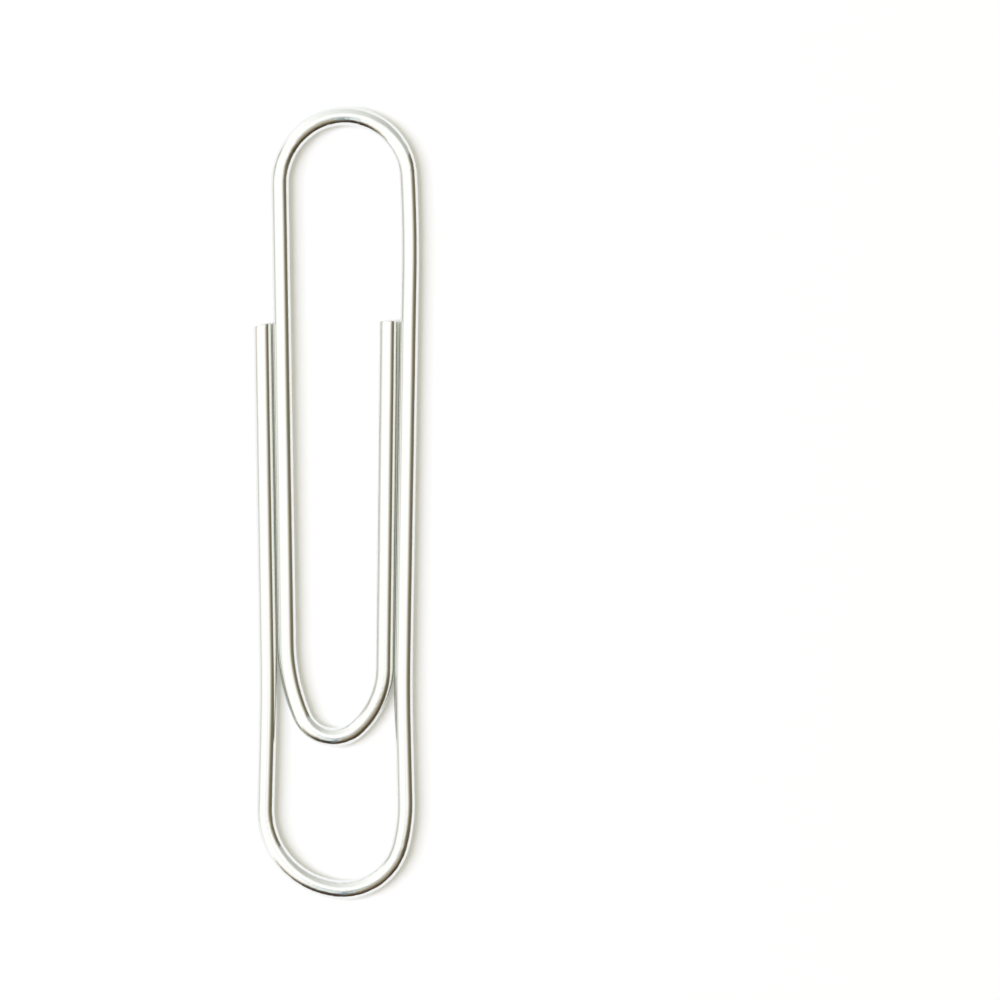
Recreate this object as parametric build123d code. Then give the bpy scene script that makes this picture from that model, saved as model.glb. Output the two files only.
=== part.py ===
"""Double-loop paper clip: one steel wire in seven formed stretches, lying flat, in millimetres."""
import os
from math import radians, tan

from build123d import *

# Overall sizes. X is across the clip, Y along it, and the clip lies on Z = 0.
wire_diameter = 1.2
clip_length = 50.0  # over the return bend and the large bend
mouth_width = 10.46  # over the outer and long legs, level with the outer leg's cut end

# Heights along the clip, from the large bend's outermost point
outer_leg_height = 36.25  # cut end of the outer leg, on the wire's axis
inner_leg_height = 36.49  # cut end of the inner leg, on the wire's axis
neck_height = 13.04  # where the two outer sides come closest
loop_height = 5.92  # where the large bend is widest
tongue_tip_height = 9.63  # outermost point of the small bend

# Large bend
loop_width = 10.05  # over the wire, at its widest
neck_width = 9.72  # over the wire, where leg and flare would meet in a corner
neck_blend = 2.3  # length of leg, and of flare, that the curve at the neck takes up

# Each bend is a round tip with a longer curve onto either leg. The ease is how far the leg
# stands outside the tip's circle, and the reach how far along the leg the curve runs.
loop_outer_ease = 1.11
loop_outer_reach = 1.27
loop_long_ease = 0.244
loop_long_reach = 1.8
return_long_ease = 0.205
return_long_reach = 6.1
return_tongue_ease = 0.15
return_tongue_reach = 0.32
small_tongue_ease = 0.75
small_tongue_reach = 3.8
small_inner_ease = 1.0
small_inner_reach = 2.25

# Room between neighbouring legs
outer_gap = 0.04  # outer leg to tongue leg, which run parallel
inner_gap = 0.02  # inner leg to long leg, level with the neck
inner_end_gap = 0.13  # inner leg to long leg, level with the inner leg's cut end

# Sheared ends
outer_end_slant = 12.0  # degrees off square
inner_end_slant = 2.0
end_round = 0.09

# Flexing stretch at the top of the tongue leg
open_angle = 9.0  # degrees that the tongue lifts before the wire would take a set
flex_clearance = 0.03

wire_radius = wire_diameter / 2
bottom = -clip_length / 2
top = clip_length / 2


class Leg:
    """Centreline of a straight run: a point, its direction up the clip and the normal inwards."""

    def __init__(self, foot, up, side):
        self.foot = foot
        self.up = up
        self.side = side  # 1 on the left of the clip, -1 on the right
        self.inward = Vector(up.Y, -up.X) * side

    def shifted(self, distance):
        return Leg(self.foot + self.inward * distance, self.up, self.side)

    def at_height(self, height):
        return self.foot + self.up * ((height - self.foot.Y) / self.up.Y)


def tip_circle(legs, eases, end_height, towards):
    """Circle whose wire reaches end_height (towards is 1 up, -1 down), each leg its ease outside."""
    crest = end_height - towards * wire_radius
    rows = []
    for leg, ease in zip(legs, eases):
        beyond = leg.inward.dot(leg.foot) + ease - leg.inward.Y * crest
        rows.append((leg.inward.X, -1 - towards * leg.inward.Y, beyond))
    (a, b, c), (d, e, f) = rows
    determinant = a * e - b * d
    across = (c * e - b * f) / determinant
    radius = (a * f - c * d) / determinant
    return Vector(across, crest - towards * radius), radius


def flank_ends(leg, ease, reach, centre, radius, towards):
    """Where a bend's longer curve leaves the leg, and where it runs onto the tip circle."""
    extra = (reach**2 + ease**2) / (2 * ease)  # how much larger its radius is than the tip's
    flank_centre = centre + leg.inward * (extra - ease) - leg.up * (towards * reach)
    on_leg = flank_centre - leg.inward * (radius + extra)
    on_tip = centre + (centre - flank_centre).normalized() * radius
    return on_leg, on_tip


def bend(first, first_flank, last, last_flank, end_height, towards):
    """Edges of a bend from one leg round to another; a flank is its ease and reach."""
    eases = (first_flank[0], last_flank[0])
    centre, radius = tip_circle((first, last), eases, end_height, towards)
    start, tip_start = flank_ends(first, *first_flank, centre, radius, towards)
    end, tip_end = flank_ends(last, *last_flank, centre, radius, towards)
    tip_middle = centre + (tip_start + tip_end - centre * 2).normalized() * radius
    tip = ThreePointArc(tip_start, tip_middle, tip_end)
    first_curve = TangentArc(start, tip_start, tangent=first.up * towards)
    last_curve = TangentArc(tip_end, end, tangent=tip % 1)
    return [first_curve, tip, last_curve]


def wire_along(edges):
    path = Wire(edges)
    section = Plane(origin=path @ 0, z_dir=path % 0) * Circle(wire_radius)
    return Pos(0, 0, wire_radius) * sweep(section, path=path)


def cut_leg(start, leg, end_height, slant):
    """Straight leg from start to a sheared end, whose edge is slightly rounded."""
    end = leg.at_height(end_height)
    spare = wire_diameter + wire_radius * tan(radians(slant))
    blank = wire_along([Line(start, end + leg.up * spare)])
    shear = Plane(origin=(end.X, end.Y, wire_radius), z_dir=leg.up.rotate(Axis.Z, slant))
    sheared = split(blank, bisect_by=shear, keep=Keep.BOTTOM)
    end_face = sheared.faces().sort_by(Axis.Y)[-1]
    return fillet(end_face.edges(), end_round)


def mirrored(point):
    return Vector(-point.X, point.Y)


# The four legs, and the two flares below the neck
neck = Vector(neck_width / 2 - wire_radius, bottom + neck_height)
mouth = Vector(mouth_width / 2 - wire_radius, bottom + outer_leg_height)
loop_side = Vector(loop_width / 2 - wire_radius, bottom + loop_height)
leg_up = (mouth - neck).normalized()
flare_up = (neck - loop_side).normalized()
long_line = Leg(neck, leg_up, -1)
outer_line = Leg(mirrored(neck), mirrored(leg_up), 1)
long_flare = Leg(loop_side, flare_up, -1)
outer_flare = Leg(mirrored(loop_side), mirrored(flare_up), 1)
tongue_line = outer_line.shifted(wire_diameter + outer_gap)
inner_foot = long_line.shifted(wire_diameter + inner_gap).foot
inner_end = long_line.shifted(wire_diameter + inner_end_gap).at_height(bottom + inner_leg_height)
inner_line = Leg(inner_foot, (inner_end - inner_foot).normalized(), -1)

# Large bend: neck, flare, bend, flare, neck
long_start = neck + leg_up * neck_blend
long_flare_top = neck - flare_up * neck_blend
outer_start = mirrored(long_start)
outer_flare_top = mirrored(long_flare_top)
loop_edges = bend(
    outer_flare,
    (loop_outer_ease, loop_outer_reach),
    long_flare,
    (loop_long_ease, loop_long_reach),
    bottom,
    -1,
)
large_bend = wire_along(
    [
        TangentArc(outer_start, outer_flare_top, tangent=outer_line.up * -1),
        Line(outer_flare_top, loop_edges[0] @ 0),
        *loop_edges,
        Line(loop_edges[-1] @ 1, long_flare_top),
        TangentArc(long_flare_top, long_start, tangent=flare_up),
    ]
)

# Return bend
return_edges = bend(
    long_line,
    (return_long_ease, return_long_reach),
    tongue_line,
    (return_tongue_ease, return_tongue_reach),
    top,
    1,
)
return_bend = wire_along(return_edges)
long_end = return_edges[0] @ 0
tongue_root = return_edges[-1] @ 1

# Small bend
small_edges = bend(
    tongue_line,
    (small_tongue_ease, small_tongue_reach),
    inner_line,
    (small_inner_ease, small_inner_reach),
    bottom + tongue_tip_height,
    -1,
)
small_bend = wire_along(small_edges)
tongue_foot = small_edges[0] @ 0
inner_start = small_edges[-1] @ 1

# Legs. The tongue leg starts just below the return bend, with room there to tilt.
flex_gap = wire_diameter * tan(radians(open_angle / 2)) + flex_clearance
tongue_top = tongue_root - tongue_line.up * flex_gap
flex_pivot = (tongue_root + tongue_top) / 2
outer_leg = cut_leg(outer_start, outer_line, mouth.Y, outer_end_slant)
long_leg = wire_along([Line(long_start, long_end)])
tongue_leg = wire_along([Line(tongue_top, tongue_foot)])
inner_leg = cut_leg(inner_start, inner_line, inner_end.Y, inner_end_slant)

nodes = {
    "outer_leg": outer_leg,
    "large_bend": large_bend,
    "long_leg": long_leg,
    "return_bend": return_bend,
    "tongue_leg": tongue_leg,
    "small_bend": small_bend,
    "inner_leg": inner_leg,
}

os.makedirs("parts", exist_ok=True)
for name, solid in nodes.items():
    export_step(solid, f"parts/{name}.step")

print(f"flexing stretch turns about {flex_pivot.X:.3f}, {flex_pivot.Y:.3f}, {wire_radius:.3f}")
for name, edges in {"large": loop_edges, "return": return_edges, "small": small_edges}.items():
    print(name, "bend radii", ", ".join(f"{edge.radius:.2f}" for edge in edges))
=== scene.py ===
import math

import bpy
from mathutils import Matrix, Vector


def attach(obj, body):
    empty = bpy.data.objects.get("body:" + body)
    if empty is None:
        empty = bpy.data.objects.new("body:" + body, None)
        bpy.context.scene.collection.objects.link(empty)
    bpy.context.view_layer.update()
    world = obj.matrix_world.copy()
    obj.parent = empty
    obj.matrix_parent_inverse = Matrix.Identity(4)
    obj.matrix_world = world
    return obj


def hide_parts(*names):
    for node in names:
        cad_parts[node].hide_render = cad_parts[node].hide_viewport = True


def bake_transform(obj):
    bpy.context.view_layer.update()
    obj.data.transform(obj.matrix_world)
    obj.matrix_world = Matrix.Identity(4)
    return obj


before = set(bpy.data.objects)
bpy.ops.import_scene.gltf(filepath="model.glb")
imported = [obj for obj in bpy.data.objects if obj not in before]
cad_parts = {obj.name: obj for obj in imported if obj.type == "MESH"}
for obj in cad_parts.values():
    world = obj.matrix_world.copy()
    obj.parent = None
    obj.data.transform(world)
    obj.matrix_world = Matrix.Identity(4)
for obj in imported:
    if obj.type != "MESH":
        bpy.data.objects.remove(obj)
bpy.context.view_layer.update()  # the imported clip: bodies, nodes, joints and record
mm = 0.001
scene = bpy.context.scene
print("frame loaded:", len(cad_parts), "stretches of wire")


class Flow:  # one socket of a node tree; sums on it add Math nodes
    def __init__(self, tree, socket=None):
        self.tree = tree
        self.socket = socket

    def feed(self, slot, value):
        if isinstance(value, Flow):
            self.tree.links.new(value.socket, slot)
        else:
            slot.default_value = value

    def node(self, kind, settings=None, inputs=None):  # any other node: settings first, then sockets
        made = self.tree.nodes.new(kind)
        for name, value in (settings or {}).items():
            if name == "captures":
                for label, dataType in value.items():
                    made.capture_items.new(dataType, label)
            else:
                setattr(made, name, value)
        for name, value in (inputs or {}).items():
            self.feed(made.inputs[name], value)
        return Flow(self.tree, made.outputs[0] if made.outputs else None)

    def out(self, name):
        return Flow(self.tree, self.socket.node.outputs[name])

    def sum(self, operation, *terms):
        made = self.tree.nodes.new("ShaderNodeMath")
        made.operation = operation
        for slot, term in zip(made.inputs, terms):
            self.feed(slot, term)
        return Flow(self.tree, made.outputs[0])

    def __add__(self, other):
        return self.sum("ADD", self, other)

    def __radd__(self, other):
        return self.sum("ADD", other, self)

    def __sub__(self, other):
        return self.sum("SUBTRACT", self, other)

    def __rsub__(self, other):
        return self.sum("SUBTRACT", other, self)

    def __mul__(self, other):
        return self.sum("MULTIPLY", self, other)

    def __rmul__(self, other):
        return self.sum("MULTIPLY", other, self)

    def __truediv__(self, other):
        return self.sum("DIVIDE", self, other)

    def __rtruediv__(self, other):
        return self.sum("DIVIDE", other, self)

    def atLeast(self, other):
        return self.sum("MAXIMUM", self, other)

    def atMost(self, other):
        return self.sum("MINIMUM", self, other)

    def root(self):
        return self.sum("SQRT", self)


# Route of the wire, in millimetres in the clip's own plane

clipSizes = {
    "wireDiameter": 1.2,
    "length": 50.0,
    "mouthWidth": 10.46,  # over outer and long leg, level with the outer cut end
    "outerLegHeight": 36.25,  # heights are from the large bend's outermost point
    "innerLegHeight": 36.49,
    "neckHeight": 13.04,
    "loopHeight": 5.92,
    "tongueTipHeight": 9.63,
    "loopWidth": 10.05,
    "neckWidth": 9.72,
    "neckBlend": 2.3,
    "outerGap": 0.04,  # outer leg to tongue leg
    "innerGap": 0.02,  # inner leg to long leg, at the neck
    "innerEndGap": 0.13,  # and at the inner cut end
    "loopOuterFlank": (1.11, 1.27),  # a flank is a bend's ease and reach
    "loopLongFlank": (0.244, 1.8),
    "returnLongFlank": (0.205, 6.1),
    "returnTongueFlank": (0.15, 0.32),
    "smallTongueFlank": (0.75, 3.8),
    "smallInnerFlank": (1.0, 2.25),
    "outerSlant": 12,  # degrees off square, at the outer cut end
    "innerSlant": 2,
    "rimRound": 0.09,  # rounding of a cut end's rim
    "rimRings": 5,
    "legStep": 0.25,  # spacing of the wire's rings
    "bendStep": 0.11,
    "leastSteps": 4,  # for the shortest arcs
    "crowding": 1.5,  # above 1, rings draw together at a crown, where two pieces of wire meet
}
wireRadius = clipSizes["wireDiameter"] / 2
rimRound = clipSizes["rimRound"]
bottom = -clipSizes["length"] / 2


class Leg:  # centreline of a straight run; side is 1 on the left of the clip, -1 on the right
    def __init__(self, foot, up, side):
        self.foot = foot
        self.up = up
        self.side = side
        self.inward = Vector((up.y, -up.x)) * side

    def shifted(self, distance):
        return Leg(self.foot + self.inward * distance, self.up, self.side)

    def atHeight(self, height):
        return self.foot + self.up * ((height - self.foot.y) / self.up.y)


def mirrored(point):
    return Vector((-point.x, point.y))


def straight(start, end):
    count = max(1, round((end - start).length / clipSizes["legStep"]))
    return [start.lerp(end, i / count) for i in range(count)]


def arc(centre, start, end, crowding=1):  # the short way round, without its last point
    first = start - centre
    turn = first.angle_signed(end - centre)
    steps = math.ceil(crowding * abs(turn) * first.length / clipSizes["bendStep"])
    count = max(clipSizes["leastSteps"], steps)
    angles = [math.atan2(first.y, first.x) - turn * (i / count) ** crowding for i in range(count)]
    return [centre + Vector((math.cos(a), math.sin(a))) * first.length for a in angles]


def corner(start, peak, end):  # slight curve where leg and flare meet
    count = round((end - start).length / clipSizes["legStep"])
    steps = [i / count for i in range(count)]
    return [start.lerp(peak, t).lerp(peak.lerp(end, t), t) for t in steps]


def bend(first, firstFlank, last, lastFlank, endHeight, towards):  # towards is 1 up, -1 down
    crest = endHeight - towards * wireRadius
    rows = []  # the tip's circle touches the crest, and each leg stands its ease outside it
    for leg, (ease, reach) in ((first, firstFlank), (last, lastFlank)):
        beyond = leg.inward.dot(leg.foot) + ease - leg.inward.y * crest
        rows.append((leg.inward.x, -1 - towards * leg.inward.y, beyond))
    (a, b, c), (d, e, f) = rows
    across = (c * e - b * f) / (a * e - b * d)
    radius = (a * f - c * d) / (a * e - b * d)
    centre = Vector((across, crest - towards * radius))
    flanks = []
    for leg, (ease, reach) in ((first, firstFlank), (last, lastFlank)):
        extra = (reach**2 + ease**2) / (2 * ease)  # how much larger its radius is than the tip's
        flankCentre = centre + leg.inward * (extra - ease) - leg.up * (towards * reach)
        onLeg = flankCentre - leg.inward * (radius + extra)
        onTip = centre + (centre - flankCentre).normalized() * radius
        flanks.append((flankCentre, onLeg, onTip))
    (startCentre, start, tipStart), (endCentre, end, tipEnd) = flanks
    crown = Vector((across, crest))
    rise = arc(centre, crown, tipStart, clipSizes["crowding"])
    fall = arc(centre, crown, tipEnd, clipSizes["crowding"])
    toCrown = arc(startCentre, start, tipStart) + [tipStart] + rise[:0:-1]
    fromCrown = fall + arc(endCentre, tipEnd, end)
    return {"start": start, "toCrown": toCrown, "crown": crown, "fromCrown": fromCrown, "end": end}


def rimmed(route, end):  # closer rings at a cut end, where its rim is rounded
    rings = clipSizes["rimRings"]
    heading = (end - route[-1]).normalized()
    depths = [rimRound * (1 - math.sin(math.pi / 2 * i / rings)) for i in range(rings + 1)]
    clear = [p for p in route if (end - p).length > rimRound * 2]
    return clear + [end - heading * depth for depth in depths]


neck = Vector((clipSizes["neckWidth"] / 2 - wireRadius, bottom + clipSizes["neckHeight"]))
mouth = Vector((clipSizes["mouthWidth"] / 2 - wireRadius, bottom + clipSizes["outerLegHeight"]))
loopSide = Vector((clipSizes["loopWidth"] / 2 - wireRadius, bottom + clipSizes["loopHeight"]))
legUp = (mouth - neck).normalized()
flareUp = (neck - loopSide).normalized()
longLine = Leg(neck, legUp, -1)
outerLine = Leg(mirrored(neck), mirrored(legUp), 1)
longFlare = Leg(loopSide, flareUp, -1)
outerFlare = Leg(mirrored(loopSide), mirrored(flareUp), 1)
tongueLine = outerLine.shifted(2 * wireRadius + clipSizes["outerGap"])
innerFoot = longLine.shifted(2 * wireRadius + clipSizes["innerGap"]).foot
innerEnd = longLine.shifted(2 * wireRadius + clipSizes["innerEndGap"]).atHeight(
    bottom + clipSizes["innerLegHeight"])
innerLine = Leg(innerFoot, (innerEnd - innerFoot).normalized(), -1)
outerEnd = mirrored(mouth)

largeBend = bend(outerFlare, clipSizes["loopOuterFlank"], longFlare, clipSizes["loopLongFlank"],
                 bottom, -1)
returnBend = bend(longLine, clipSizes["returnLongFlank"], tongueLine, clipSizes["returnTongueFlank"],
                  -bottom, 1)
smallBend = bend(tongueLine, clipSizes["smallTongueFlank"], innerLine, clipSizes["smallInnerFlank"],
                 bottom + clipSizes["tongueTipHeight"], -1)

longStart = neck + legUp * clipSizes["neckBlend"]
flareTop = neck - flareUp * clipSizes["neckBlend"]
outerHalf = rimmed(straight(mirrored(longStart), outerEnd), outerEnd)[::-1]
frameRoute = [
    *outerHalf[:-1],
    *corner(mirrored(longStart), mirrored(neck), mirrored(flareTop)),
    *straight(mirrored(flareTop), largeBend["start"]),
    *largeBend["toCrown"],
    *largeBend["fromCrown"],
    *straight(largeBend["end"], flareTop),
    *corner(flareTop, neck, longStart),
    *straight(longStart, returnBend["start"]),
    *returnBend["toCrown"],
    returnBend["crown"],
]
tongueRoute = [
    *returnBend["fromCrown"],
    *straight(returnBend["end"], smallBend["start"]),
    *smallBend["toCrown"],
    *smallBend["fromCrown"],
    *straight(smallBend["end"], innerEnd),
]
tongueRoute = rimmed(tongueRoute, innerEnd)
wholeRoute = frameRoute + tongueRoute[1:]
print("routes:", len(frameRoute), "and", len(tongueRoute), "rings")


# Finishes

def newFinish(name):
    material = bpy.data.materials.new(name)
    material.use_nodes = True
    material.node_tree.nodes.clear()
    return material, Flow(material.node_tree)


def close(flow, shader):
    flow.node("ShaderNodeOutputMaterial", {}, {"Surface": shader})


plating = {
    "tone": (0.87, 0.89, 0.86),
    "cloudTone": (0.855, 0.87, 0.84),
    "roughness": 0.14,
    "lineRoughness": 0.06,
    "lines": {"scale": (220, 26000, 26000), "detail": 3},  # drawn lines, long and fine
    "lineDepth": 0.0000003,
    "clouds": {"scale": (500, 1400, 1400), "detail": 4},
    "waves": {"scale": (170, 500, 500), "detail": 1},  # faint unevenness left by forming
    "waveDepth": 0.00003,
    "marks": {"scale": (2600, 4200, 4200), "detail": 2},  # slight orange peel in the bends
    "markDepth": 0.000012,
}


def wireNoise(flow, place, pattern):  # scales are along the wire, then round it
    stretched = flow.node("ShaderNodeMapping", {}, {"Vector": place, "Scale": pattern["scale"]})
    return flow.node("ShaderNodeTexNoise", {}, {
        "Vector": stretched, "Scale": 1, "Detail": pattern["detail"]})


def platedWire():
    material, flow = newFinish("platedWire")
    place = flow.node("ShaderNodeAttribute", {"attribute_name": "wireCoord"}).out("Vector")
    lines = wireNoise(flow, place, plating["lines"])
    clouds = wireNoise(flow, place, plating["clouds"])
    waves = wireNoise(flow, place, plating["waves"])
    marks = wireNoise(flow, place, plating["marks"])
    marks = marks * flow.node("ShaderNodeAttribute", {"attribute_name": "bent"}).out("Fac")
    tone = flow.node("ShaderNodeMix", {"data_type": "RGBA"}, {
        0: clouds, 6: (*plating["tone"], 1), 7: (*plating["cloudTone"], 1)}).out(2)
    relief = flow.node("ShaderNodeBump", {}, {"Height": waves, "Distance": plating["waveDepth"]})
    relief = flow.node("ShaderNodeBump", {}, {
        "Height": lines, "Distance": plating["lineDepth"], "Normal": relief})
    relief = flow.node("ShaderNodeBump", {}, {
        "Height": marks, "Distance": plating["markDepth"], "Normal": relief})
    roughness = plating["roughness"] + (lines - 0.5) * plating["lineRoughness"]
    close(flow, flow.node("ShaderNodeBsdfPrincipled", {}, {
        "Base Color": tone, "Metallic": 1, "Roughness": roughness, "Normal": relief}))
    return material


shear = {
    "tone": (0.62, 0.61, 0.6),
    "roughness": 0.35,
    "grainRoughness": 0.3,
    "grainScale": 9000,
    "grainDetail": 3,
    "grainDepth": 0.000004,
}


def shearedEnd():
    material, flow = newFinish("shearedEnd")
    place = flow.node("ShaderNodeTexCoord").out("Object")
    grain = flow.node("ShaderNodeTexNoise", {}, {
        "Vector": place, "Scale": shear["grainScale"], "Detail": shear["grainDetail"]})
    relief = flow.node("ShaderNodeBump", {}, {"Height": grain, "Distance": shear["grainDepth"]})
    roughness = shear["roughness"] + (grain - 0.5) * shear["grainRoughness"]
    close(flow, flow.node("ShaderNodeBsdfPrincipled", {}, {
        "Base Color": (*shear["tone"], 1), "Metallic": 1, "Roughness": roughness, "Normal": relief}))
    return material


wireFinish = platedWire()
endFinish = shearedEnd()
print("finishes: plated wire, sheared ends")


# Wire swept along its route by Geometry Nodes

def wireTree():
    tree = bpy.data.node_groups.new("formedWire", "GeometryNodeTree")
    for name, kind in (("Route", "Geometry"), ("Wire radius", "Float"), ("Sides", "Int"),
                       ("Start rim", "Float"), ("End rim", "Float"), ("Start slant", "Float"),
                       ("End slant", "Float"), ("Slant reach", "Float"), ("Length before", "Float"),
                       ("Wire finish", "Material"), ("End finish", "Material")):
        tree.interface.new_socket(name, in_out="INPUT", socket_type="NodeSocket" + kind)
    tree.interface.new_socket("Wire", in_out="OUTPUT", socket_type="NodeSocketGeometry")
    flow = Flow(tree)
    given = flow.node("NodeGroupInput")
    route = flow.node("GeometryNodeMeshToCurve", {}, {"Mesh": given.out("Route")})
    route = flow.node("GeometryNodeSetCurveNormal", {"mode": "Z_UP"}, {"Curve": route})
    along = flow.node("GeometryNodeSplineParameter").out("Length")
    left = flow.node("GeometryNodeSplineLength").out("Length") - along
    captures = {"along": "FLOAT", "left": "FLOAT", "heading": "VECTOR", "axis": "VECTOR"}
    route = flow.node("GeometryNodeCaptureAttribute", {"captures": captures}, {
        "Geometry": route, "along": along, "left": left,
        "heading": flow.node("GeometryNodeInputTangent"),
        "axis": flow.node("GeometryNodeInputPosition")})
    radius = given.out("Wire radius")
    section = flow.node("GeometryNodeCurvePrimitiveCircle", {}, {
        "Resolution": given.out("Sides"), "Radius": radius})
    section = flow.node("GeometryNodeCaptureAttribute", {"captures": {"round": "VECTOR"}}, {
        "Geometry": section, "round": flow.node("GeometryNodeInputPosition")})
    scale = 1  # the wire narrows in a quarter circle at a rounded rim
    for rim, depth in ((given.out("Start rim"), along), (given.out("End rim"), left)):
        short = (rim - depth).atLeast(0)
        scale = scale * ((radius - rim + (rim * rim - short * short).atLeast(0).root()) / radius)
    wire = flow.node("GeometryNodeCurveToMesh", {}, {
        "Curve": route, "Profile Curve": section, "Scale": scale, "Fill Caps": True})
    heading = route.out("heading")
    sideways = flow.node("ShaderNodeVectorMath", {"operation": "CROSS_PRODUCT"}, {
        0: heading, 1: (0, 0, 1)})
    offAxis = flow.node("ShaderNodeVectorMath", {"operation": "SUBTRACT"}, {
        0: flow.node("GeometryNodeInputPosition"), 1: route.out("axis")})
    across = flow.node("ShaderNodeVectorMath", {"operation": "DOT_PRODUCT"}, {
        0: offAxis, 1: sideways}).out("Value")
    slant = 0  # a slanted cut leans the rings over, less and less along its reach
    for name, depth in (("Start slant", route.out("along")), ("End slant", route.out("left"))):
        share = (1 - depth / given.out("Slant reach")).atLeast(0)
        slant = slant + given.out(name).sum("TANGENT", given.out(name)) * share
    shift = flow.node("ShaderNodeVectorMath", {"operation": "SCALE"}, {
        0: heading, "Scale": across * slant})
    wire = flow.node("GeometryNodeSetPosition", {}, {"Geometry": wire, "Offset": shift})
    around = flow.node("ShaderNodeSeparateXYZ", {}, {0: section.out("round")})
    coord = flow.node("ShaderNodeCombineXYZ", {}, {
        "X": route.out("along") + given.out("Length before"), "Y": around.out("X"), "Z": around.out("Y")})
    stored = {"data_type": "FLOAT_VECTOR", "domain": "POINT"}
    wire = flow.node("GeometryNodeStoreNamedAttribute", stored, {
        "Geometry": wire, "Name": "wireCoord", "Value": coord})
    corners = flow.node("GeometryNodeInputMeshFaceNeighbors").out("Vertex Count")
    isCap = corners.sum("GREATER_THAN", corners, 4)  # all other faces have four corners
    wire = flow.node("GeometryNodeSetShadeSmooth", {}, {"Geometry": wire, "Shade Smooth": 1 - isCap})
    wire = flow.node("GeometryNodeRealizeInstances", {}, {"Geometry": wire})
    wire = flow.node("GeometryNodeSetMaterial", {}, {
        "Geometry": wire, "Material": given.out("Wire finish")})
    wire = flow.node("GeometryNodeSetMaterial", {}, {
        "Geometry": wire, "Selection": isCap, "Material": given.out("End finish")})
    flow.node("NodeGroupOutput", {}, {"Wire": wire})
    return tree


forming = {
    "reach": 6,  # rings looked at either way
    "tightRadius": 4.0,  # a bend this tight, in mm, counts as 1
}


def bentShares(route):  # how tightly each ring's stretch of wire was bent, from 0 to 1
    reach = forming["reach"]
    turns = [0.0] * len(route)
    for i in range(reach, len(route) - reach):
        before = route[i] - route[i - reach]
        after = route[i + reach] - route[i]
        turns[i] = abs(before.angle_signed(after)) * 2 / (before.length + after.length)
    return [min(1, turn * forming["tightRadius"]) for turn in turns]


def sweptWire(name, route, bent, tree, sizes):
    path = bpy.data.meshes.new(name + "Route")
    points = [(p.x * mm, p.y * mm, wireRadius * mm) for p in route]
    path.from_pydata(points, [(i, i + 1) for i in range(len(points) - 1)], [])
    path.attributes.new("bent", "FLOAT", "POINT").data.foreach_set("value", bent)
    piece = bpy.data.objects.new(name, path)
    scene.collection.objects.link(piece)
    modifier = piece.modifiers.new("sweep", "NODES")
    modifier.node_group = tree
    for item in tree.interface.items_tree:
        if item.in_out == "INPUT" and item.name in sizes:
            modifier[item.identifier] = sizes[item.name]
    graph = bpy.context.evaluated_depsgraph_get()
    mesh = bpy.data.meshes.new_from_object(
        piece.evaluated_get(graph), preserve_all_data_layers=True, depsgraph=graph)
    piece.modifiers.remove(modifier)
    piece.data = mesh
    return piece


wireSizes = {
    "Wire radius": wireRadius * mm,
    "Sides": 48,
    "Slant reach": 1.5 * mm,
    "Wire finish": wireFinish,
    "End finish": endFinish,
}
outerSlant = math.radians(clipSizes["outerSlant"])
innerSlant = math.radians(clipSizes["innerSlant"])
outerCut = {"Start rim": rimRound * mm, "Start slant": outerSlant, "End rim": 0.0, "End slant": 0.0}
innerCut = {"Start rim": 0.0, "Start slant": 0.0, "End rim": rimRound * mm, "End slant": innerSlant}
formedWire = wireTree()
bent = bentShares(wholeRoute)
meeting = len(frameRoute) - 1
frameLength = sum((b - a).length for a, b in zip(frameRoute, frameRoute[1:]))
frameSizes = {**wireSizes, **outerCut, "Length before": 0.0}
tongueSizes = {**wireSizes, **innerCut, "Length before": frameLength * mm}
frameWire = sweptWire("frameWire", frameRoute, bent[:meeting + 1], formedWire, frameSizes)
tongueWire = sweptWire("tongueWire", tongueRoute, bent[meeting:], formedWire, tongueSizes)
print("wire:", len(frameWire.data.polygons), "and", len(tongueWire.data.polygons), "faces")

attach(frameWire, "frame")
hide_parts("outer_leg", "large_bend", "long_leg", "return_bend")
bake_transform(tongueWire)
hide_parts("tongue_leg", "small_bend", "inner_leg")


# Studio: white floor and surroundings, one large soft lamp, and cards that the wire mirrors

studio = {
    "floorTone": (0.97, 0.97, 0.97),
    "floorHalf": 3.0,  # in metres, as are the lamp's sizes
    "floorGlow": 0.3,  # share of the floor that is white without light
    "mirroredGlow": 0.1,  # the same, as the wire mirrors it
    "glowTone": (1.0, 0.985, 0.87),
    "fill": 0.35,  # strength of the surroundings as light
    "fillTone": (1.0, 0.97, 0.7),
    "lampTone": (1.0, 1.01, 1.19),
    "lampHeight": 2.5,
    "lampLeft": -3.325,  # edges of the lamp
    "lampRight": -0.5,
    "lampFront": -0.625,
    "lampBack": 0.75,
    "lampRadiance": 8.4,
    "cardStep": 3,  # degrees between a card's points
    "warmGreen": 0.15,  # what green loses of a warm edge, where blue loses all of it
}
horizon = 90  # degrees from overhead
warmPeak = 27 / 256  # what share**3 * (1 - share) comes to at most, at a share of 3/4


def stageMesh(name, points, faces, material):
    mesh = bpy.data.meshes.new(name)
    mesh.from_pydata(points, [], faces)
    mesh.materials.append(material)
    item = bpy.data.objects.new(name, mesh)
    scene.collection.objects.link(item)
    return item


def seenShare(flow, direct, indirect):  # what the camera sees directly, and in a mirror or glass
    path = flow.node("ShaderNodeLightPath")
    mirror = (path.out("Is Glossy Ray") + path.out("Is Transmission Ray")).atMost(1)
    return path.out("Is Camera Ray") * direct + mirror * indirect


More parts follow.
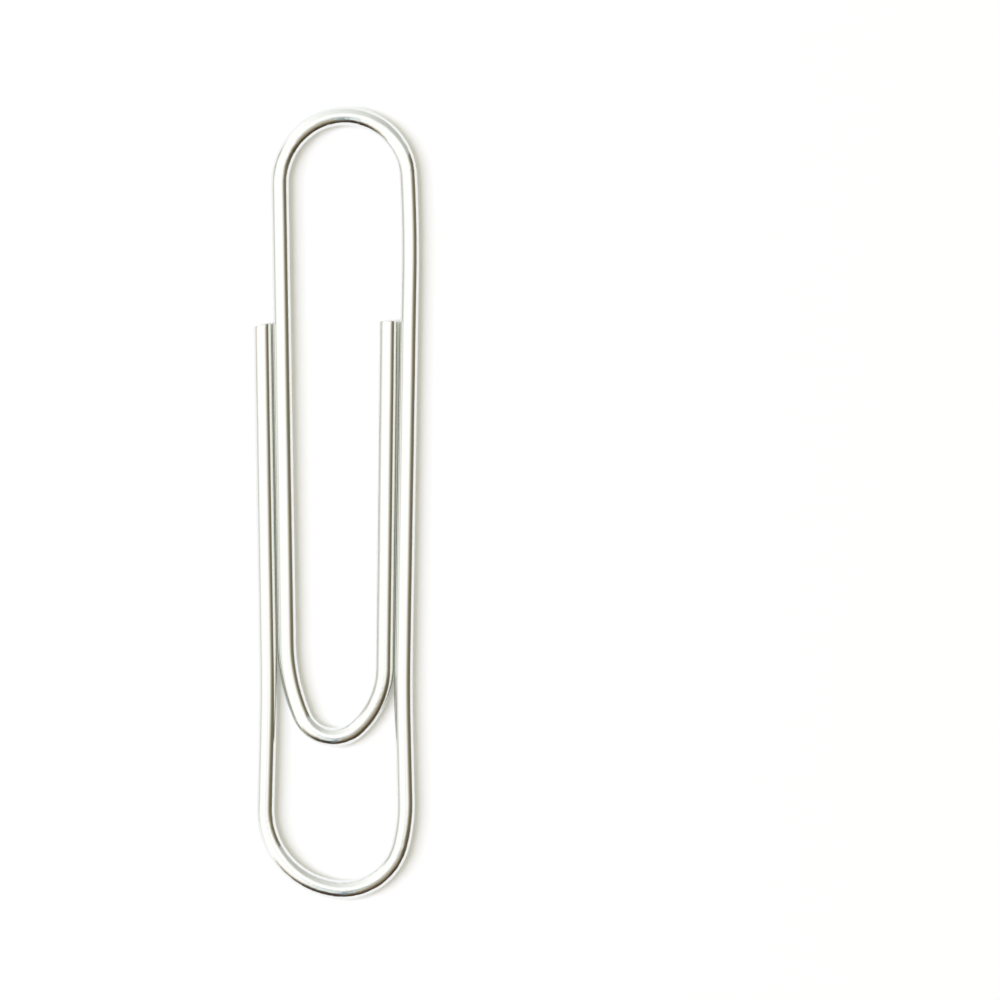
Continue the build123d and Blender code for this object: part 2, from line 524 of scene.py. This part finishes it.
def paleFloor():
    material, flow = newFinish("paleFloor")
    matt = flow.node("ShaderNodeBsdfDiffuse", {}, {"Color": (*studio["floorTone"], 1)})
    glow = flow.node("ShaderNodeEmission", {}, {"Color": (*studio["glowTone"], 1)})
    share = seenShare(flow, studio["floorGlow"], studio["mirroredGlow"])
    close(flow, flow.node("ShaderNodeMixShader", {}, {0: share, 1: matt, 2: glow}))
    half = studio["floorHalf"]
    square = [(-half, -half, 0), (half, -half, 0), (half, half, 0), (-half, half, 0)]
    stageMesh("paleFloor", square, [(0, 1, 2, 3)], material)


def whiteSurroundings():
    world = bpy.data.worlds.new("whiteSurroundings")
    scene.world = world
    world.use_nodes = True
    world.node_tree.nodes.clear()
    flow = Flow(world.node_tree)
    seen = seenShare(flow, 1, 1)
    tone = flow.node("ShaderNodeMix", {"data_type": "RGBA"}, {
        0: seen, 6: (*studio["fillTone"], 1), 7: (1, 1, 1, 1)})
    strength = studio["fill"] + seen * (1 - studio["fill"])
    sky = flow.node("ShaderNodeBackground", {}, {"Color": tone.out(2), "Strength": strength})
    flow.node("ShaderNodeOutputWorld", {}, {"Surface": sky})


def softLamp():
    wide = studio["lampRight"] - studio["lampLeft"]
    deep = studio["lampBack"] - studio["lampFront"]
    lamp = bpy.data.lights.new("softLamp", "AREA")
    lamp.shape = "RECTANGLE"
    lamp.size = wide
    lamp.size_y = deep
    lamp.color = studio["lampTone"]
    lamp.energy = studio["lampRadiance"] * math.pi * wide * deep
    item = bpy.data.objects.new("softLamp", lamp)
    item.location.x = studio["lampRight"] - wide / 2
    item.location.y = studio["lampBack"] - deep / 2
    item.location.z = studio["lampHeight"]
    item.visible_glossy = False  # the white dome is what the wire mirrors overhead
    scene.collection.objects.link(item)


dome = (1.17, 1.15, 1.16)
# Each card's rim: azimuth, angle from overhead of its middle tone, in degrees, and tone below that.
# Its edge fades over twice its softness, its foot is where it ends, and warmth tints the fade.
cards = {
    "whiteDome": {"radius": 0.95, "soft": 0.1, "rim": [(-180, 0, dome), (180, 0, dome)]},
    "darkRoom": {"radius": 0.85, "soft": 21, "warmth": 0.25, "rim": [
        (-142, 70, (0.6, 0.54, 0.48)), (-130, 62, (0.25, 0.19, 0.15)),
        (-118, 52, (0.06, 0.036, 0.028)), (-100, 36, (0.06, 0.04, 0.032)),
        (-60, 26, (0.065, 0.042, 0.027)), (-30, 31, (0.085, 0.06, 0.037)),
        (0, 39, (0.185, 0.16, 0.108)), (26, 47, (0.15, 0.125, 0.085))]},
    "greyWall": {"radius": 0.85, "soft": 13, "rim": [
        (26, 42, (0.54, 0.545, 0.51)), (55, 33, (0.57, 0.575, 0.54)), (80, 29, (0.8, 0.81, 0.78)),
        (130, 30, dome)]},
    "leftSill": {"radius": 0.85, "soft": 8, "rim": [
        (140, 66, dome), (152, 66, (0.6, 0.59, 0.53)), (180, 70, (0.68, 0.67, 0.6)),
        (215, 76, dome)]},
    "hazyWindow": {"radius": 0.8, "soft": 33, "ease": 0.7, "warmth": 0.25, "rim": [
        (-90, 33, (0.075, 0.045, 0.02)), (-30, 33, (0.075, 0.045, 0.02))]},
    "windowPane": {"radius": 0.75, "soft": 2, "foot": 46, "rim": [
        (-113, 19, (0.8, 0.87, 0.88)), (-100, 19, (0.87, 0.92, 0.935)),
        (-82, 17, (0.87, 0.92, 0.935))]},
    "windowTop": {"radius": 0.74, "soft": 2, "foot": 18, "rim": [
        (-113, 10, (0.66, 0.7, 0.72)), (-78, 10, (0.66, 0.7, 0.72))]},
    "windowBar": {"radius": 0.73, "soft": 4, "foot": 62, "rim": [
        (-94, 14, (0.2, 0.26, 0.28)), (-86, 14, (0.2, 0.26, 0.28))]},
}


def rimAt(rim, azimuth):
    for (a, angle, tone), (b, nextAngle, nextTone) in zip(rim, rim[1:]):
        if azimuth <= b:
            share = (azimuth - a) / (b - a)
            return angle + (nextAngle - angle) * share, Vector(tone).lerp(Vector(nextTone), share)
    return rim[-1][1:]


def makeCard(name, shape):
    material, flow = newFinish(name)
    painted = flow.node("ShaderNodeAttribute", {"attribute_name": "glow"}).out("Color")
    close(flow, flow.node("ShaderNodeEmission", {}, {"Color": painted}))
    rim = shape["rim"]
    foot = shape.get("foot", horizon)
    columns = math.ceil((rim[-1][0] - rim[0][0]) / studio["cardStep"])
    rows = math.ceil(horizon / studio["cardStep"])
    points = []
    glows = []
    for i in range(columns + 1):
        azimuth = rim[0][0] + (rim[-1][0] - rim[0][0]) * i / columns
        middle, tone = rimAt(rim, azimuth)
        upper = max(0, middle - shape["soft"])
        for j in range(rows + 1):
            tilt = upper + (foot - upper) * j / rows
            share = min(1, (tilt - upper) / (2 * shape["soft"]))
            share = share ** shape["ease"] if "ease" in shape else share * share * (3 - 2 * share)
            turn = math.radians(azimuth)
            slope = math.radians(tilt)
            level = math.sin(slope)
            ray = Vector((level * math.cos(turn), level * math.sin(turn), math.cos(slope)))
            points.append(ray * shape["radius"])
            glow = Vector(dome).lerp(Vector(tone), share)
            warm = shape.get("warmth", 0) * share**3 * (1 - share) / warmPeak
            glows += [glow.x, glow.y * (1 - warm * studio["warmGreen"]), glow.z * (1 - warm), 1]
    step = rows + 1
    faces = [(i * step + j, i * step + j + 1, (i + 1) * step + j + 1, (i + 1) * step + j)
             for i in range(columns) for j in range(rows)]
    card = stageMesh(name, points, faces, material)
    card.data.attributes.new("glow", "FLOAT_COLOR", "POINT").data.foreach_set("color", glows)
    card.visible_camera = False
    card.visible_diffuse = False
    card.visible_shadow = False


paleFloor()
whiteSurroundings()
softLamp()
for name, shape in cards.items():
    makeCard(name, shape)
print("studio: floor, lamp and", len(cards), "cards")


# Camera straight above, framed as the photograph

view = {  # all in millimetres
    "width": 63.05,  # of the picture, level with the wire's axis
    "centre": (10.364, 0.181),
    "lens": 200.0,
    "sensor": 36.0,
    "clipStart": 10,
}
camera = bpy.data.cameras.new("camera")
camera.lens = view["lens"]
camera.sensor_width = view["sensor"]
camera.clip_start = view["clipStart"] * mm
height = view["width"] * view["lens"] / view["sensor"] + wireRadius
cameraItem = bpy.data.objects.new("camera", camera)
cameraItem.location = (view["centre"][0] * mm, view["centre"][1] * mm, height * mm)
scene.collection.objects.link(cameraItem)
scene.camera = cameraItem
scene.view_settings.view_transform = "Standard"
scene.cycles.diffuse_bounces = 8
scene.cycles.glossy_bounces = 16  # polished wires side by side mirror each other
scene.cycles.max_bounces = 24
